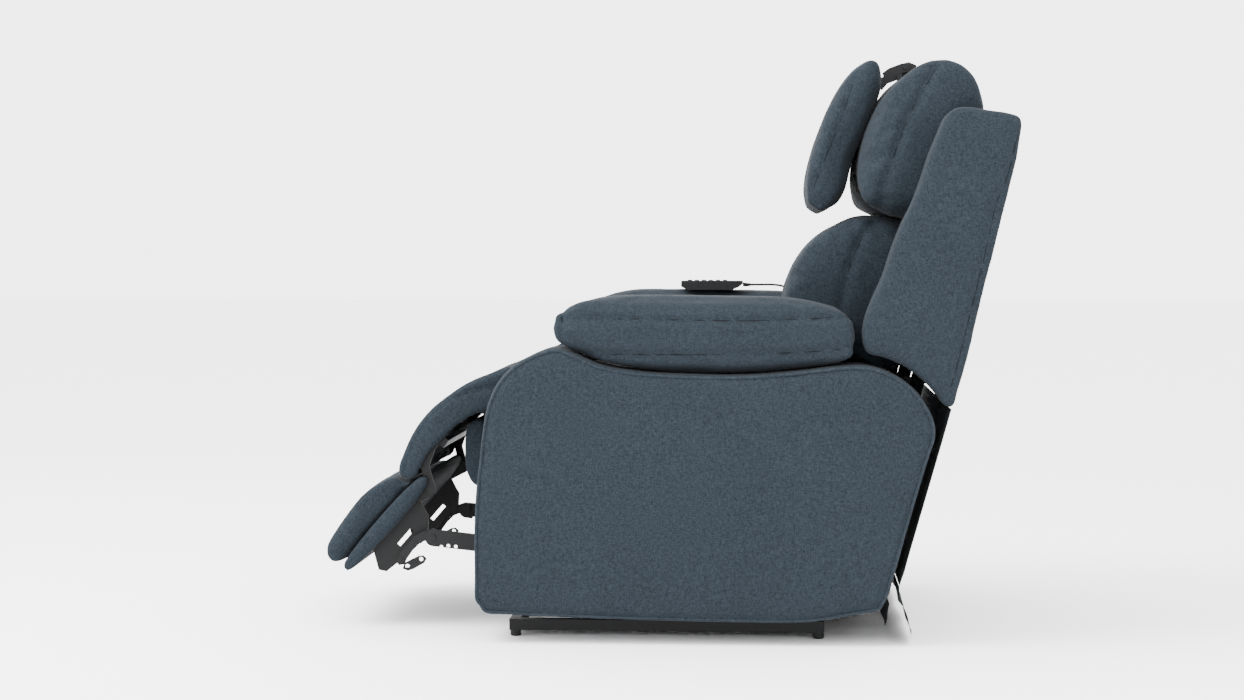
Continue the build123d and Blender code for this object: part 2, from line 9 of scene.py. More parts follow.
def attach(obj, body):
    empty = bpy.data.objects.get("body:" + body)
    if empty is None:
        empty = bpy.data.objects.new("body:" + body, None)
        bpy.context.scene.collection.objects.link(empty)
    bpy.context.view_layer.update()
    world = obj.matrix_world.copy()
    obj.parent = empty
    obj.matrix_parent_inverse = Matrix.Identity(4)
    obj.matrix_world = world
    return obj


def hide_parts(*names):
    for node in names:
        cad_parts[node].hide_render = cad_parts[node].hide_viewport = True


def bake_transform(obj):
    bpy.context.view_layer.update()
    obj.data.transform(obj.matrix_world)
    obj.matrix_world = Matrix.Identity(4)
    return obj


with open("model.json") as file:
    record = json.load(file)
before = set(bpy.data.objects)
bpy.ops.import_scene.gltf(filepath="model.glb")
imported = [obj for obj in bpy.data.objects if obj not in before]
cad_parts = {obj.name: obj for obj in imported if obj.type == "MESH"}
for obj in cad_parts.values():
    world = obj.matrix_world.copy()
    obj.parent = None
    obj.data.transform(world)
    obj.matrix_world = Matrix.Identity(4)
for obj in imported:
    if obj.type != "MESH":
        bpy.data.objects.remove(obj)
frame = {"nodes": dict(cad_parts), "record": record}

scene = bpy.context.scene
N = frame["nodes"]
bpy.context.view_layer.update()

# ---------------------------------------------------------------- camera
cam_data = bpy.data.cameras.new("camera")
cam = bpy.data.objects.new("camera", cam_data)
scene.collection.objects.link(cam)
cam_data.lens = 70
cam_data.sensor_width = 36
right = Vector((-0.06518, 0.99787, 0.0))
up = Vector((-0.04072, -0.00266, 0.99917))
fwd = Vector((-0.99704, -0.06512, -0.04080))
cam.matrix_world = Matrix(((right.x, up.x, -fwd.x, 4.7029), (right.y, up.y, -fwd.y, 0.21), (right.z, up.z, -fwd.z, 0.7008), (0, 0, 0, 1)))
scene.camera = cam


# ---------------------------------------------------------------- materials
def new_mat(name):
    m = bpy.data.materials.new(name)
    m.use_nodes = True
    return m, m.node_tree.nodes, m.node_tree.links, m.node_tree.nodes["Principled BSDF"]


def fabric(name, base, light=1.0):
    m, n, l, b = new_mat(name)
    tc = n.new("ShaderNodeTexCoord")
    mels = []
    for scale, stretch in ((420.0, (1.0, 0.35, 1.0)), (420.0, (1.0, 1.0, 0.35))):
        mp = n.new("ShaderNodeMapping")
        mp.inputs["Scale"].default_value = stretch
        l.new(tc.outputs["Object"], mp.inputs["Vector"])
        t = n.new("ShaderNodeTexNoise")
        t.inputs["Scale"].default_value = scale
        t.inputs["Detail"].default_value = 3
        t.inputs["Roughness"].default_value = 0.7
        l.new(mp.outputs["Vector"], t.inputs["Vector"])
        mels.append(t)
    mix = n.new("ShaderNodeMath")
    mix.operation = "ADD"
    l.new(mels[0].outputs["Fac"], mix.inputs[0])
    l.new(mels[1].outputs["Fac"], mix.inputs[1])
    half = n.new("ShaderNodeMath")
    half.operation = "MULTIPLY"
    half.inputs[1].default_value = 0.5
    l.new(mix.outputs[0], half.inputs[0])
    ramp = n.new("ShaderNodeValToRGB")
    e = ramp.color_ramp.elements
    e[0].position, e[1].position = 0.36, 0.64
    e[0].color = (base[0] * 0.55, base[1] * 0.56, base[2] * 0.58, 1)
    e[1].color = (base[0] * 1.55, base[1] * 1.5, base[2] * 1.45, 1)
    l.new(half.outputs[0], ramp.inputs["Fac"])
    big = n.new("ShaderNodeTexNoise")
    big.inputs["Scale"].default_value = 9.0
    big.inputs["Detail"].default_value = 4
    l.new(tc.outputs["Object"], big.inputs["Vector"])
    br = n.new("ShaderNodeMapRange")
    br.inputs["To Min"].default_value = 0.9
    br.inputs["To Max"].default_value = 1.1
    l.new(big.outputs["Fac"], br.inputs["Value"])
    mul = n.new("ShaderNodeMix")
    mul.data_type = "RGBA"
    mul.blend_type = "MULTIPLY"
    mul.inputs[0].default_value = 1.0
    l.new(ramp.outputs["Color"], mul.inputs[6])
    l.new(br.outputs["Result"], mul.inputs[7])
    l.new(mul.outputs[2], b.inputs["Base Color"])
    b.inputs["Roughness"].default_value = 0.92
    b.inputs["Specular IOR Level"].default_value = 0.06
    b.inputs["Sheen Weight"].default_value = 0.02
    b.inputs["Sheen Roughness"].default_value = 0.5
    weave = n.new("ShaderNodeTexVoronoi")
    weave.inputs["Scale"].default_value = 620.0
    l.new(tc.outputs["Object"], weave.inputs["Vector"])
    bump = n.new("ShaderNodeBump")
    bump.inputs["Strength"].default_value = 0.35
    bump.inputs["Distance"].default_value = 0.0008
    l.new(weave.outputs["Distance"], bump.inputs["Height"])
    l.new(bump.outputs["Normal"], b.inputs["Normal"])
    return m


def hard(name, color, rough, metal=0.0, coat=0.0, grain=0.0, bump=0.0, scale=60.0, stretch=(1, 1, 1)):
    m, n, l, b = new_mat(name)
    b.inputs["Metallic"].default_value = metal
    b.inputs["Coat Weight"].default_value = coat
    b.inputs["Coat Roughness"].default_value = 0.3
    b.inputs["Specular IOR Level"].default_value = 0.12
    tc = n.new("ShaderNodeTexCoord")
    mp = n.new("ShaderNodeMapping")
    mp.inputs["Scale"].default_value = stretch
    l.new(tc.outputs["Object"], mp.inputs["Vector"])
    t = n.new("ShaderNodeTexNoise")
    t.inputs["Scale"].default_value = scale
    t.inputs["Detail"].default_value = 5
    l.new(mp.outputs["Vector"], t.inputs["Vector"])
    r = n.new("ShaderNodeValToRGB")
    r.color_ramp.elements[0].position, r.color_ramp.elements[1].position = 0.3, 0.7
    r.color_ramp.elements[0].color = tuple(c * (1 - grain) for c in color) + (1,)
    r.color_ramp.elements[1].color = tuple(min(1, c * (1 + grain)) for c in color) + (1,)
    l.new(t.outputs["Fac"], r.inputs["Fac"])
    l.new(r.outputs["Color"], b.inputs["Base Color"])
    rr = n.new("ShaderNodeMapRange")
    rr.inputs["To Min"].default_value = rough * 0.85
    rr.inputs["To Max"].default_value = min(1.0, rough * 1.15)
    l.new(t.outputs["Fac"], rr.inputs["Value"])
    l.new(rr.outputs["Result"], b.inputs["Roughness"])
    if bump:
        t2 = n.new("ShaderNodeTexNoise")
        t2.inputs["Scale"].default_value = 900.0
        l.new(mp.outputs["Vector"], t2.inputs["Vector"])
        bp = n.new("ShaderNodeBump")
        bp.inputs["Strength"].default_value = bump
        bp.inputs["Distance"].default_value = 0.0006
        l.new(t2.outputs["Fac"], bp.inputs["Height"])
        l.new(bp.outputs["Normal"], b.inputs["Normal"])
    return m


FAB = fabric("upholstery_fabric", (0.0098, 0.0136, 0.0178))
# painted shade: a darker copy of the upholstery fabric, for the rear flap that hangs in shade under the back
FAB_SHADE = fabric("upholstery_fabric_painted_shade", (0.0082, 0.0112, 0.0146))
# painted highlight: a lighter copy of the upholstery fabric for the piping welts, standing in for the light they catch
PIPE_LIT = fabric("piping_fabric_painted_highlight", (0.0115, 0.0158, 0.0205))
# painted seam shadow: a near-black material for thin tubes laid in the seam grooves to draw the shade in their creases
SEAM_SHADE = hard("seam_shadow", (0.0035, 0.0042, 0.0055), 0.95, grain=0.1)
LINING = hard("lining_cloth", (0.012, 0.013, 0.014), 0.95, grain=0.3, bump=0.4, scale=300)
MATS = {
    "frame_steel": hard("frame_paint", (0.004, 0.0043, 0.0047), 0.5, coat=0.03, grain=0.15, bump=0.12, scale=40),
    "spring_steel": hard("spring_steel", (0.4, 0.4, 0.41), 0.35, metal=1.0, grain=0.15),
    "rod_steel": hard("rod_steel", (0.62, 0.62, 0.64), 0.14, metal=1.0, grain=0.04),
    "motor_plastic": hard("motor_plastic", (0.009, 0.0095, 0.01), 0.5, grain=0.15, bump=0.35),
    "glide_plastic": hard("glide_plastic", (0.008, 0.008, 0.0085), 0.55, grain=0.15, bump=0.2),
    "handset_plastic": hard("handset_plastic", (0.006, 0.0064, 0.0068), 0.42, grain=0.1, bump=0.25),
    "handset_keys": hard("handset_keys", (0.018, 0.019, 0.02), 0.6, grain=0.1, bump=0.1),
    "cord_rubber": hard("cord_rubber", (0.006, 0.006, 0.0065), 0.6, grain=0.1, bump=0.2),
    "wood": hard("plywood", (0.15, 0.105, 0.064), 0.7, grain=0.22, bump=0.2, scale=14, stretch=(1, 1, 14)),
    "covered_board": hard("covered_board", (0.005, 0.006, 0.007), 0.9, grain=0.15, bump=0.3),
    "upholstery": FAB,
}
slots = {s["node"]: s["material_slot"] for s in frame["record"]["subparts"]}
for name, o in N.items():
    o.data.materials.clear()
    o.data.materials.append(MATS[slots[name]])

# ---------------------------------------------------------------- outlines, metres (Y, Z)
def mm(pts):
    return [(a / 1000.0, b / 1000.0) for a, b in pts]


ARM = mm([(-326.9, 64), (-335.3, 75.4), (-336.8, 114), (-336.9, 142), (-336.8, 211), (-333.9, 265.7), (-328.4, 320.5),
          (-320, 388.9), (-311.7, 427.3), (-292.4, 468.4), (-267.7, 495.5), (-243, 511.8), (-215.7, 524.1),
          (-186.5, 530.4), (-157.1, 520.4), (-106.8, 499.2), (-44.2, 488.8), (60.3, 483.1), (144.1, 483.4),
          (227.2, 489.6), (315.8, 499.6), (347.2, 501.0), (370.7, 499.0), (394, 492.0), (415.9, 482.0), (434.9, 469.0),
          (450.5, 456), (466, 436), (478, 415), (485.0, 397), (487.0, 383), (484.8, 363.3), (480.2, 351.3),
          (422.9, 156.4), (417.3, 136.8), (410.4, 111.9), (405.1, 90.6), (396.5, 74.5), (391.8, 65.1),
          (337.9, 52.3), (278.7, 42.0), (240.7, 39.0), (105.2, 39.5), (-121.4, 43.4), (-269.8, 48.7), (-317.6, 52.5)])
PAD = mm([(-198.9, 571.8), (-195.3, 587.7), (-186.4, 594.9), (-173.9, 600.2), (-149, 614.4), (-127.7, 618.3),
          (-106.4, 620.3), (69, 620), (226.9, 616.7), (289.1, 608.5), (325.9, 596.2), (342.8, 581.6), (346.0, 552.6),
          (345.3, 513.2), (335.1, 505.6), (227.2, 490.8), (144.1, 484.4), (60.3, 484.1), (-44.2, 489.8), (-106.0, 500.4),
          (-156.3, 521.6), (-186.0, 531.9), (-195, 547.1)])
FRONT = mm([(-341, 262), (-360, 263), (-371.3, 278), (-378, 300), (-378.3, 325), (-377.8, 352), (-374, 372), (-366, 384), (-355, 388), (-341, 388)])
SEAT = mm([(-283, 409), (-283, 486), (-262, 491), (-200, 492), (60, 490), (200, 484), (250, 478), (266, 460), (268, 409)])
WING = mm([(502.9, 944.5), (518.3, 955.3), (540.1, 956.8), (571, 951.9), (617.6, 944.1), (631.7, 937.8), (634.9, 928.3),
           (632, 900.4), (627.5, 869.2), (609.6, 790.5), (597.2, 738), (577.2, 656.4), (558.1, 580), (543, 517.1),
           (526, 454.2), (516.0, 424.0), (502.0, 424.0), (487.0, 445.0), (475.5, 458.0), (462.0, 471.0), (444.0, 485.5),
           (424.0, 498.5), (403.0, 508.0), (382.0, 514.2), (362.0, 518.5), (356.9, 531.4), (353.5, 548.4), (358.4, 582.1), (370, 612.4),
           (389.9, 656.3), (406.4, 706.8), (423, 750.4), (441, 788.3), (456.6, 829.3), (472, 875.9), (484.1, 903.8), (499.6, 941.2)])
OUTSIDE = mm([(519.0, 430), (543, 517.1), (577.2, 656.4), (609.6, 790.5), (627.5, 869.2), (632, 900.4), (634.0, 928.3), (628, 938), (617.6, 943),
              (614.5, 931.5), (619, 925), (618, 901), (613.7, 872), (596, 793.5), (563.5, 659.5), (529.5, 520.5), (505.5, 433.5)])


def line_y(z):
    return 0.415 + 0.27 * (z - 0.330)


LUMBAR = mm([(228, 500), (219, 560), (213, 600), (215.4, 627), (225.7, 654.8), (235.9, 683), (253.3, 710.3), (284, 738.2), (321.9, 759.2),
             (367, 768.5), (390.5, 764.5), (440, 756.0), (500, 752), (527, 752)]) + [(line_y(0.62) - 0.002, 0.62), (line_y(0.5) - 0.002, 0.5)] + mm([(400, 470), (340, 496)])
UPPER = mm([(474.9, 1052.2), (487.4, 1055.8), (505.3, 1055.7), (529.7, 1050.5), (555.3, 1034.4), (571.4, 1011.9), (581, 980),
            (581.2, 961)]) + [(line_y(0.94) - 0.002, 0.957), (line_y(0.93) - 0.002, 0.93), (line_y(0.765) - 0.002, 0.762)] + mm([(431.8, 765.0), (390.1, 772.0), (364.3, 778.6),
            (351.4, 792.9), (348.1, 823), (354.4, 868.1), (366.9, 919.6), (382.8, 958.1), (401.7, 996.9), (421.1, 1015.9), (446.3, 1037.6)])
PILLOW = mm([(376.3, 1059.3), (390.9, 1054.9), (401.0, 1045.7), (400.5, 1035.7), (399.0, 1019.5), (391.0, 996.6), (363.5, 922.1), (339.0, 870),
             (328, 818.2), (313.7, 789), (297.7, 770.7), (286.4, 766.7), (271.7, 774.4), (257.8, 785.4), (257, 801.9), (258.8, 834.8),
             (274.4, 896.3), (300.3, 964.6), (329.2, 1016.6), (355.3, 1045.8)])
CHAISE = mm([(-286.5, 488.6), (-332.9, 472.7), (-375.8, 454.2), (-405.7, 434.4), (-432.9, 412.7), (-456.3, 387.7), (-476.1, 358.4), (-493.5, 318.4), (-500.7, 294.0), (-500.5, 286.0),
             (-473.0, 274), (-460.0, 283.0), (-439.0, 321.0), (-404.5, 358.8), (-376, 381.6), (-335.9, 401.6), (-286.5, 408)])
CHAISE_RECESS = mm([(-270, 460), (-330, 451), (-357, 442), (-380, 426), (-398, 410), (-414, 391), (-436, 367), (-453, 342), (-468, 309), (-472, 255),
                    (-440, 255), (-430, 320), (-395, 350), (-370, 360), (-330, 380), (-270, 385)])
UB = (-0.6613, -0.7502)
NB = (0.7502, -0.6613)


def board_pt(s, t):
    return (-0.4510 + UB[0] * s + NB[0] * t, 0.2910 + UB[1] * s + NB[1] * t)


FOOT = mm([(-501.3, 281.0), (-525.2, 272.6), (-562.6, 248.1), (-591.5, 214.8), (-620.5, 174.5), (-638, 140.1), (-632.5, 119.9),
           (-620.8, 111.4), (-606.5, 114)]) + [board_pt(0.232, -0.0006), board_pt(0.06, -0.0006), board_pt(0.02, -0.0006)] + mm([(-482.0, 264.0)])


# ---------------------------------------------------------------- geometry helpers
def area2(p):
    return sum(p[i][0] * p[(i + 1) % len(p)][1] - p[(i + 1) % len(p)][0] * p[i][1] for i in range(len(p)))


def smooth_loop(pts, step=0.008, closed=True):
    """Points along a centripetal spline through pts."""
    P = [np.array(p, float) for p in pts]
    n = len(P)
    out = []
    for i in range(n if closed else n - 1):
        p0 = P[(i - 1) % n] if closed or i > 0 else 2 * P[0] - P[1]
        p1, p2 = P[i % n], P[(i + 1) % n]
        p3 = P[(i + 2) % n] if closed or i + 2 < n else 2 * P[n - 1] - P[n - 2]
        d = np.linalg.norm(p2 - p1)
        k = max(1, int(round(d / step)))
        t01, t12, t23 = (max(1e-6, np.linalg.norm(b - a)) ** 0.5 for a, b in ((p0, p1), (p1, p2), (p2, p3)))
        m1 = (p2 - p1) + t12 * ((p1 - p0) / t01 - (p2 - p0) / (t01 + t12))
        m2 = (p2 - p1) + t12 * ((p3 - p2) / t23 - (p3 - p1) / (t12 + t23))
        for j in range(k):
            t = j / k
            out.append((2 * t**3 - 3 * t**2 + 1) * p1 + (t**3 - 2 * t**2 + t) * m1 + (-2 * t**3 + 3 * t**2) * p2 + (t**3 - t**2) * m2)
    if not closed:
        out.append(P[-1])
    return np.array(out)


def inset(loop, d):
    """The loop moved inwards by d."""
    s = 1.0 if area2([tuple(p) for p in loop]) > 0 else -1.0
    a, b = np.roll(loop, 2, 0), np.roll(loop, -2, 0)
    t = b - a
    t /= np.maximum(np.linalg.norm(t, axis=1), 1e-9)[:, None]
    n = np.stack([-t[:, 1], t[:, 0]], 1) * s
    return loop + n * d


def seg_dist(q, line, closed=True):
    """Distance of points q (n,2) to a polyline."""
    a = np.asarray(line)
    b = np.roll(a, -1, 0) if closed else a[1:]
    a = a if closed else a[:-1]
    best = np.full(len(q), 1e9)
    for i in range(len(a)):
        d = b[i] - a[i]
        L = float(d @ d) or 1e-12
        t = np.clip(((q - a[i]) @ d) / L, 0, 1)
        best = np.minimum(best, np.linalg.norm(q - (a[i] + t[:, None] * d), axis=1))
    return best


def mesh_obj(name, verts, faces, mat):
    me = bpy.data.meshes.new(name)
    me.from_pydata([tuple(map(float, v)) for v in verts], [], faces)
    me.update()
    me.materials.append(mat)
    o = bpy.data.objects.new(name, me)
    scene.collection.objects.link(o)
    return o


def prism_obj(name, loop, x0, x1, mat):
    n = len(loop)
    v = [(x0, p[0], p[1]) for p in loop] + [(x1, p[0], p[1]) for p in loop]
    f = [tuple(range(n))[::-1], tuple(range(n, 2 * n))] + [(i, (i + 1) % n, n + (i + 1) % n, n + i) for i in range(n)]
    o = mesh_obj(name, v, f, mat)
    bm = bmesh.new()
    bm.from_mesh(o.data)
    bmesh.ops.recalc_face_normals(bm, faces=bm.faces)
    bm.to_mesh(o.data)
    bm.free()
    return o


def bake(o):
    dg = bpy.context.evaluated_depsgraph_get()
    me = bpy.data.meshes.new_from_object(o.evaluated_get(dg), depsgraph=dg)
    old = o.data
    o.modifiers.clear()
    o.data = me
    bpy.data.meshes.remove(old)


def coords(o):
    co = np.zeros(len(o.data.vertices) * 3)
    o.data.vertices.foreach_get("co", co)
    return co.reshape(-1, 3)


def set_coords(o, co):
    o.data.vertices.foreach_set("co", co.astype(np.float32).ravel())
    o.data.update()


def normals(o):
    o.data.update()
    no = np.zeros(len(o.data.vertices) * 3)
    o.data.vertices.foreach_get("normal", no)
    return no.reshape(-1, 3)


def block_out(name, pts, x0, x1, mat, voxel, shrink=0.003, rim=0.015, cut=None, smooth=4, step=0.006):
    """A soft block: prism with rounded rims, even small faces."""
    loop = inset(smooth_loop(pts, step), shrink)
    o = prism_obj(name, loop, x0 + shrink, x1 - shrink, mat)
    if rim:
        b = o.modifiers.new("b", "BEVEL")
        b.width = rim
        b.segments = 4
        b.limit_method = "ANGLE"
        b.angle_limit = math.radians(50)
    if cut is not None:
        c = prism_obj(name + "_cut", np.array(cut[0]), cut[1], cut[2], mat)
        m = o.modifiers.new("c", "BOOLEAN")
        m.object = c
        m.operation = "DIFFERENCE"
        m.solver = "EXACT"
    bake(o)
    if cut is not None:
        bpy.data.objects.remove(c)
    r = o.modifiers.new("r", "REMESH")
    r.mode = "VOXEL"
    r.voxel_size = voxel
    s = o.modifiers.new("s", "SMOOTH")
    s.factor = 0.5
    s.iterations = smooth
    bake(o)
    return o


SIM = []


def puff(o, cap, pressure=4.0, stiff=12.0):
    SIM.append((o, cap, pressure, stiff))


def run_sims():
    scene.frame_start, scene.frame_end = 1, 20
    for o, cap, p, st in SIM:
        m = o.modifiers.new("cloth", "CLOTH")
        s = m.settings
        s.quality = 5
        s.mass = 0.3
        s.tension_stiffness = st
        s.compression_stiffness = st
        s.shear_stiffness = st * 0.6
        s.bending_stiffness = 0.6
        s.air_damping = 6
        s.use_pressure = True
        s.uniform_pressure_force = p
        s.effector_weights.gravity = 0
        m.collision_settings.use_collision = False
        m.point_cache.frame_start, m.point_cache.frame_end = 1, 20
    for f in range(1, 21):
        scene.frame_set(f)
    dg = bpy.context.evaluated_depsgraph_get()
    for o, cap, p, st in SIM:
        ev = o.evaluated_get(dg)
        co = np.zeros(len(ev.data.vertices) * 3)
        ev.data.vertices.foreach_get("co", co)
        co = co.reshape(-1, 3)
        a = coords(o)
        d = co - a
        d = d - d.mean(0)
        L = np.maximum(np.linalg.norm(d, axis=1), 1e-9)
        print("sim", o.name, len(a), "moved mm", round(float(L.max()) * 1000, 1), round(float(L.mean()) * 1000, 1))
        new = a + d * (cap * np.tanh(L / cap) / L)[:, None]
        o.modifiers.clear()
        set_coords(o, new)
    scene.frame_set(1)


def undulate(o, amp, scale, seed=0.0, keep=None):
    """Low, soft unevenness of stuffed fabric, along the normals."""
    co, no = coords(o), normals(o)
    w = np.array([noise.fractal(Vector((c[0] * scale + seed, c[1] * scale, c[2] * scale)), 1.0, 2.0, 3) for c in co])
    if keep is not None:
        w = w * keep(co)
    set_coords(o, co + no * (w * amp)[:, None])


def groove(o, line, depth, width, side=None, closed=False, pucker=0.25, xmin=None):
    """A sewn seam pressed into the side faces along a (Y, Z) line, with small gathers across it."""
    co, no = coords(o), normals(o)
    d = seg_dist(co[:, 1:], line, closed)
    g = np.exp(-(d / width) ** 2)
    face = np.abs(no[:, 0]) ** 0.5
    if side is not None:
        face = face * (np.sign(no[:, 0]) == side)
    if xmin is not None:
        face = np.where(np.abs(co[:, 0]) > xmin, np.maximum(face, 0.6), 0)
    wob = np.array([noise.noise(Vector((c[0] * 20, c[1] * 60, c[2] * 60))) for c in co])
    near = np.exp(-(d / (width * 3.2)) ** 2)
    depth_v = depth * g * face * (1 + 0.3 * wob) + pucker * depth * near * face * wob
    set_coords(o, co - no * depth_v[:, None])


def cross_groove(o, yz, tangent_x, depth, width):
    """A seam that runs across the piece at one place of its outline, given as (Y, Z)."""
    co, no = coords(o), normals(o)
    d = np.linalg.norm(co[:, 1:] - np.array(yz), axis=1)
    set_coords(o, co - no * (depth * np.exp(-(d / width) ** 2) * (1 - np.abs(no[:, 0]) ** 2))[:, None])


def tube(name, pts3, r, body, closed=True, mat=None, res=2):
    cu = bpy.data.curves.new(name, "CURVE")
    cu.dimensions = "3D"
    cu.bevel_depth = r
    cu.bevel_resolution = res
    sp = cu.splines.new("POLY")
    sp.points.add(len(pts3) - 1)
    for i, p in enumerate(pts3):
        sp.points[i].co = (*[float(c) for c in p], 1)
    sp.use_cyclic_u = closed
    sp.use_smooth = True
    # default is the lighter piping fabric: painted highlight on the welts
    cu.materials.append(mat or PIPE_LIT)
    o = bpy.data.objects.new(name, cu)
    scene.collection.objects.link(o)
    if body:
        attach(o, body)
    return o


def hit(o, p, direction):
    """Where a ray from p meets the surface of o, and its normal there."""
    ok, loc, nor, _ = o.ray_cast(Vector(p), Vector(direction))
    return (loc, nor) if ok else (None, None)


def draped(o, line, x_sign, lift, name, r, body, closed=False, mat=None):
    """A thin cord-like tube that lies on the side face of o along a (Y, Z) line; every use here draws painted seam
    shadow along a seam.
    """
    pts = []
    for y, z in line:
        loc, nor = hit(o, (x_sign * 1.0, y, z), (-x_sign, 0, 0))
        if loc is not None:
            pts.append(loc + nor * lift)
    if len(pts) < 3:
        return None
    P = np.array([tuple(p) for p in pts])
    Q = P.copy()
    for _ in range(2):
        Q[1:-1] = (Q[:-2] + 2 * Q[1:-1] + Q[2:]) / 4
    return tube(name, Q, r, body, closed=closed, mat=mat)


def finish_soft(o, body, nodes, sub=1):
    for p in o.data.polygons:
        p.use_smooth = True
    if sub:
        m = o.modifiers.new("sub", "SUBSURF")
        m.levels = m.render_levels = sub
    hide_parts(*nodes)
    if body:
        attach(o, body)


# ---------------------------------------------------------------- arms
arms = {}
for side, nm in ((1, "left"), (-1, "right")):
    x0, x1 = (0.260, 0.430) if side > 0 else (-0.430, -0.260)
    o = block_out(f"arm_{nm}", ARM, x0, x1, FAB, 0.0075, shrink=0.0015, rim=0.009, smooth=2)
    loop = smooth_loop(ARM, 0.012)
    co, no = coords(o), normals(o)
    d = seg_dist(co[:, 1:], loop)
    dome = 0.0045 * (1 - np.exp(-d / 0.05)) * (np.abs(no[:, 0]) > 0.7)
    co[:, 0] += np.sign(no[:, 0]) * dome
    set_coords(o, co)
    undulate(o, 0.0012, 5.0, seed=side * 3.1)
    seam = inset(loop, 0.0095)
    groove(o, seam, 0.0028, 0.0042, side=side, closed=True)
    arms[nm] = o
    finish_soft(o, "carriage", [f"arm_body_{nm}"])
    welt = inset(smooth_loop(ARM, 0.006), 0.0062)
    tube(f"arm_welt_{nm}", [(side * 0.4252, p[0], p[1]) for p in welt], 0.0028, "carriage")

# ---------------------------------------------------------------- arm pads
pads = {}
for side, nm in ((1, "left"), (-1, "right")):
    x0, x1 = (0.267, 0.428) if side > 0 else (-0.428, -0.267)
    o = block_out(f"arm_rest_{nm}", PAD, x0, x1, FAB, 0.0065, shrink=0.005, rim=0.028, smooth=5)
    pads[nm] = (o, side)
    puff(o, 0.0065, 3.0)

# ---------------------------------------------------------------- wings and outside back
wings = {}
for side, nm in ((1, "left"), (-1, "right")):
    x0, x1 = (0.310, 0.420) if side > 0 else (-0.420, -0.310)
    o = block_out(f"back_side_{nm}", WING, x0, x1, FAB, 0.007, shrink=0.002, rim=0.016, smooth=3)
    loop = smooth_loop(WING, 0.012)
    co, no = coords(o), normals(o)
    d = seg_dist(co[:, 1:], loop)
    co[:, 0] += np.sign(no[:, 0]) * 0.006 * (1 - np.exp(-d / 0.035)) * (np.abs(no[:, 0]) > 0.6)
    set_coords(o, co)
    undulate(o, 0.0015, 6.0, seed=side * 7.3)
    seam = smooth_loop(mm([(629.5, 905), (623.8, 881.4), (611.8, 831.6), (594.2, 790.4), (569.8, 680), (545.3, 580.1), (526.9, 504.6), (510.2, 444.9), (506, 428)]), 0.012, closed=False)
    seam = np.array([(p[0] - 0.004, p[1]) for p in seam])
    groove(o, seam, 0.0045, 0.0055, side=side)
    wings[nm] = o
    bpy.context.view_layer.update()
    # dark tube of painted seam shadow along the wing seam
    draped(o, seam, side, -0.0002, f"wing_seam_shadow_{nm}", 0.0009, "back", mat=SEAM_SHADE)
    finish_soft(o, "back", [f"back_wing_{nm}"])
o = block_out("back_outside", OUTSIDE, -0.3094, 0.3094, FAB, 0.0075, shrink=0.0003, rim=0.0, smooth=1)
undulate(o, 0.001, 4.0, seed=2.0)
finish_soft(o, "back", ["back_outside_panel"])
for sx, nm in ((1, "left"), (-1, "right")):
    line = smooth_loop(mm([(634.6, 925), (632.4, 900.4), (628, 869.2), (610, 790.5), (577.8, 656.4), (543.6, 517.1), (521, 436)]), 0.01, closed=False)
    tube(f"back_outside_welt_{nm}", [(sx * 0.3100, p[0] - 0.0008, p[1]) for p in line], 0.0028, "back", closed=False)

# ---------------------------------------------------------------- seat, lumbar, upper back, pillow, leg rest, foot pad
seat = block_out("seat_pad", SEAT, -0.245, 0.245, FAB, 0.009, shrink=0.003, rim=0.02, smooth=4)
puff(seat, 0.006, 2.0)
FILL = mm([(368, 536), (365.5, 550), (370, 582), (381.5, 612), (400.5, 656), (416.5, 706), (431.5, 745), (437, 754)]) + [(line_y(0.754) - 0.003, 0.754), (line_y(0.536) - 0.003, 0.536)]
fills = [block_out("back_fill_left", FILL, 0.244, 0.3095, FAB, 0.007, shrink=0.001, rim=0.006, smooth=2),
         block_out("back_fill_right", FILL, -0.3095, -0.244, FAB, 0.007, shrink=0.001, rim=0.006, smooth=2)]
lumbar = block_out("lumbar_pad", LUMBAR, -0.246, 0.246, FAB, 0.008, shrink=0.006, rim=0.03, smooth=6)
puff(lumbar, 0.010, 3.5)
upper = block_out("upper_back_pad", UPPER, -0.302, 0.302, FAB, 0.008, shrink=0.006, rim=0.035, smooth=7)
puff(upper, 0.011, 3.5)
pillow = block_out("head_pillow", PILLOW, -0.250, 0.250, FAB, 0.0075, shrink=0.005, rim=0.03, smooth=7)
puff(pillow, 0.009, 3.0)
chaise = block_out("leg_pad", CHAISE, -0.255, 0.255, FAB, 0.0065, shrink=0.0015, rim=0.006, smooth=3, cut=(CHAISE_RECESS, -0.2465, 0.2465))
foot = block_out("foot_rest_pad", FOOT, -0.255, 0.255, FAB, 0.0075, shrink=0.004, rim=0.02, smooth=5)
puff(foot, 0.007, 3.0)
BOARD = [board_pt(0.004, 0.009), board_pt(0.012, 0.0006), board_pt(0.228, 0.0006), board_pt(0.237, 0.007), board_pt(0.236, 0.015), board_pt(0.228, 0.0196), board_pt(0.006, 0.0196)]
cover_board = block_out("foot_board_cover", BOARD, -0.2548, 0.2548, FAB, 0.005, shrink=0.0004, rim=0.006, smooth=3, cut=([(-0.484, 0.238), (-0.423, 0.238), (-0.423, 0.312), (-0.484, 0.312)], 0.2283, 0.2413))
front = block_out("front_rail_pad", FRONT, -0.228, 0.228, FAB, 0.006, shrink=0.001, rim=0.006, smooth=2, cut=([(-0.390, 0.346), (-0.330, 0.346), (-0.330, 0.396), (-0.390, 0.396)], -0.090, -0.050))
run_sims()

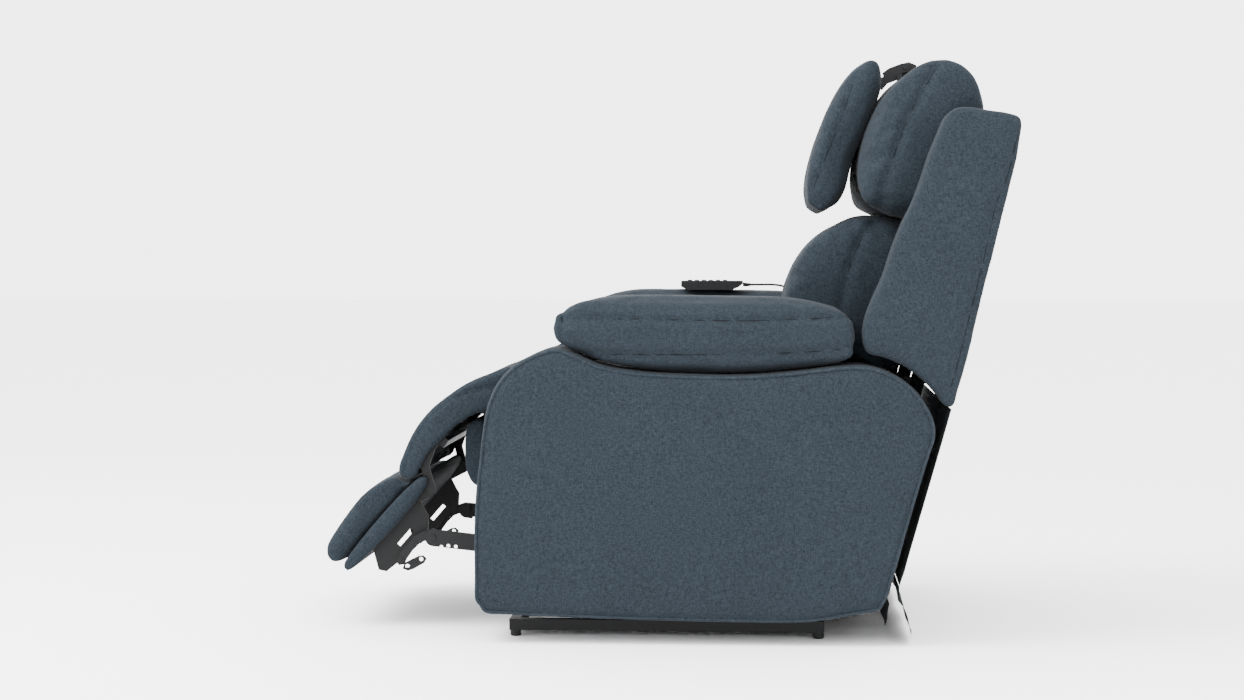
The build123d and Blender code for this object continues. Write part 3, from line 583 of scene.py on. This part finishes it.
for nm, (o, side) in pads.items():
    undulate(o, 0.0016, 8.0, seed=side * 1.7)
    up_seam = smooth_loop(mm([(-192, 577), (-177, 578.8), (-65, 581), (143, 578), (268, 582), (338, 586)]), 0.012, closed=False)
    lo_seam = smooth_loop(mm([(-190, 523), (-171, 519), (-64, 517.7), (143, 518.3), (239, 521.5), (326, 528.8), (344, 531)]), 0.012, closed=False)
    end_seam = smooth_loop(mm([(-177, 598), (-177, 560), (-177, 524)]), 0.012, closed=False)
    for s in (up_seam, lo_seam, end_seam):
        groove(o, s, 0.0055, 0.006, xmin=0.33)
    bpy.context.view_layer.update()
    for k, s in enumerate((up_seam, lo_seam, end_seam)):
        # dark tubes of painted seam shadow along the arm rest seams
        draped(o, s, side, -0.0002, f"arm_rest_seam_shadow_{nm}_{k}", 0.0009, "carriage", mat=SEAM_SHADE)
    finish_soft(o, "carriage", [f"arm_pad_{nm}"])
finish_soft(fills[0], "back", ["back_side_fillers"])
finish_soft(fills[1], "back", ["back_side_fillers"])
undulate(seat, 0.003, 6.0, 4.0)
finish_soft(seat, "carriage", ["seat_cushion"])
finish_soft(cover_board, "footboard", ["ottoman_board"])
undulate(front, 0.001, 8.0, 5.0)
finish_soft(front, "carriage", ["seat_front_panel"])

undulate(lumbar, 0.0022, 9.0, 8.0)
groove(lumbar, smooth_loop(mm([(377.7, 765.9), (382.8, 755.5), (370.7, 745.1), (353.7, 713.9), (339.9, 679.2), (326.3, 637.5), (323, 609.7), (322, 560)]), 0.012, closed=False), 0.006, 0.008, pucker=0.25)
LUMBAR_SEAM = smooth_loop(mm([(382.8, 755.5), (370.7, 745.1), (353.7, 713.9), (339.9, 679.2), (326.3, 637.5), (323, 609.7), (322, 560)]), 0.012, closed=False)
bpy.context.view_layer.update()
for sx, nm in ((1, "left"), (-1, "right")):
    # dark tube of painted seam shadow along the lumbar seam
    draped(lumbar, LUMBAR_SEAM, sx, -0.0002, f"lumbar_seam_shadow_{nm}", 0.0009, "back", mat=SEAM_SHADE)
finish_soft(lumbar, "back", ["lumbar_cushion"])
undulate(upper, 0.002, 7.0, 12.0)
ear = smooth_loop(mm([(495, 1056), (492.9, 1045.9), (491.3, 1034.7), (466.1, 990), (440.7, 945.1), (421.7, 893.7), (408.9, 858.4), (396.3, 816.6), (391.6, 784.3), (390, 770)]), 0.012, closed=False)
groove(upper, ear, 0.007, 0.008, pucker=0.25)
bpy.context.view_layer.update()
for sx, nm in ((1, "left"), (-1, "right")):
    # dark tube of painted seam shadow along the upper back seam
    draped(upper, ear[2:-2], sx, -0.0002, f"upper_seam_shadow_{nm}", 0.0009, "back", mat=SEAM_SHADE)
finish_soft(upper, "back", ["upper_back_cushion"])
undulate(pillow, 0.0016, 9.0, 16.0)
ps = smooth_loop(mm([(376, 1060), (358, 1046), (323, 948), (294, 877), (275, 828), (268, 806), (276, 790), (290, 780)]), 0.012, closed=False)
groove(pillow, ps, 0.0035, 0.0055, pucker=0.2)
bpy.context.view_layer.update()
for sx, nm in ((1, "left"), (-1, "right")):
    # dark tube of painted seam shadow along the pillow seam
    draped(pillow, ps[1:-1], sx, -0.0002, f"pillow_seam_shadow_{nm}", 0.0008, "headrest", mat=SEAM_SHADE)
finish_soft(pillow, "headrest", ["headrest_pillow"])


def to_blend(o):
    for p in o.data.polygons:
        p.use_smooth = True
    m = o.modifiers.new("sub", "SUBSURF")
    m.levels = m.render_levels = 1
    bake(o)
    for p in o.data.polygons:
        p.use_smooth = True


undulate(chaise, 0.0018, 7.0, 21.0)
groove(chaise, smooth_loop(mm([(-300, 455), (-318.6, 448.6), (-347.9, 443), (-375.9, 435.6), (-418.7, 412.8), (-456.4, 369.1), (-478, 322), (-487, 292)]), 0.012, closed=False), 0.003, 0.004)
to_blend(chaise)
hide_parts("chaise_pad")
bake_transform(chaise)
undulate(foot, 0.002, 8.0, 25.0)
finish_soft(foot, "footboard", ["foot_pad"])

# ---------------------------------------------------------------- hanging cloth at the back
def cloth_sheet(name, path, x_half, nodes, mat, body=None, wave=0.0, seed=0.0, nx=90, flat=None):
    P = smooth_loop(path, 0.006, closed=False)
    verts, faces = [], []
    for i in range(nx + 1):
        x = -x_half + 2 * x_half * i / nx
        for j, p in enumerate(P):
            t = j / (len(P) - 1)
            w = wave * t * noise.fractal(Vector((x * 7 + seed, t * 1.2, seed)), 1.0, 2.0, 2)
            verts.append((x, p[0] + w, p[1]))
    m = len(P)
    for i in range(nx):
        for j in range(m - 1):
            faces.append((i * m + j, (i + 1) * m + j, (i + 1) * m + j + 1, i * m + j + 1))
    o = mesh_obj(name, verts, faces, mat)
    for p in o.data.polygons:
        p.use_smooth = True
    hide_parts(*nodes)
    if body:
        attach(o, body)
    return o


cover = cloth_sheet("lower_cover", mm([(423, 107), (432.5, 135.5), (438, 156), (467, 258), (496, 360), (513, 421.5)]), 0.408, ["back_lower_cover"], FAB, wave=0.0)
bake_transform(cover)
cloth_sheet("rear_flap_short", mm([(405.6, 74), (402.2, 55), (400, 41), (397.3, 34)]), 0.398, ["rear_flap_inner"], LINING, "carriage", wave=0.004, seed=1.0)
# the outer rear flap gets the darker copy of the upholstery fabric: painted shade
cloth_sheet("rear_flap_long", mm([(422.9, 105), (423.8, 87.5), (432, 65), (439.5, 44), (447, 12)]), 0.402, ["rear_flap_outer"], FAB_SHADE, "carriage", wave=0.006, seed=4.0)

# ---------------------------------------------------------------- handset cord
ROUTE = [(-300, 149, 632), (-300, 171, 632), (-289, 199, 632.5), (-270.5, 222, 628.5), (-257, 236, 607), (-254, 236.5, 572), (-253.5, 231.5, 532), (-253.5, 231.5, 496.2)]
cu = bpy.data.curves.new("handset_lead", "CURVE")
cu.dimensions = "3D"
cu.bevel_depth = 0.00225
cu.bevel_resolution = 4
cu.resolution_u = 16
sp = cu.splines.new("NURBS")
sp.points.add(len(ROUTE) - 1)
for i, p in enumerate(ROUTE):
    sp.points[i].co = (p[0] / 1000, p[1] / 1000, p[2] / 1000, 1)
sp.order_u = 3
sp.use_endpoint_u = True
cu.materials.append(MATS["cord_rubber"])
cord = bpy.data.objects.new("handset_lead", cu)
scene.collection.objects.link(cord)
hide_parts("handset_cord")
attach(cord, "carriage")

# ---------------------------------------------------------------- floor and light
fm, n_, l_, b_ = new_mat("floor_paint")
b_.inputs["Base Color"].default_value = (0.9, 0.9, 0.905, 1)
b_.inputs["Roughness"].default_value = 0.75
floor = mesh_obj("floor", [(-30, -30, -0.0005), (30, -30, -0.0005), (30, 30, -0.0005), (-30, 30, -0.0005)], [(0, 1, 2, 3)], fm)
world = bpy.data.worlds.new("studio")
scene.world = world
world.use_nodes = True
bg = world.node_tree.nodes["Background"]
bg.inputs["Color"].default_value = (1, 1, 1, 1)
bg.inputs["Strength"].default_value = 4.6


def area(name, loc, target, size, power):
    d = bpy.data.lights.new(name, "AREA")
    d.shape = "RECTANGLE"
    d.size, d.size_y = size
    d.energy = power
    o = bpy.data.objects.new(name, d)
    scene.collection.objects.link(o)
    o.location = loc
    o.rotation_euler = (Vector(target) - Vector(loc)).to_track_quat("-Z", "Y").to_euler()


area("key", (1.2, -2.2, 3.4), (0, 0, 0.5), (2.4, 2.4), 340)
area("fill", (3.6, 1.6, 2.2), (0, 0.1, 0.5), (2.0, 2.0), 70)
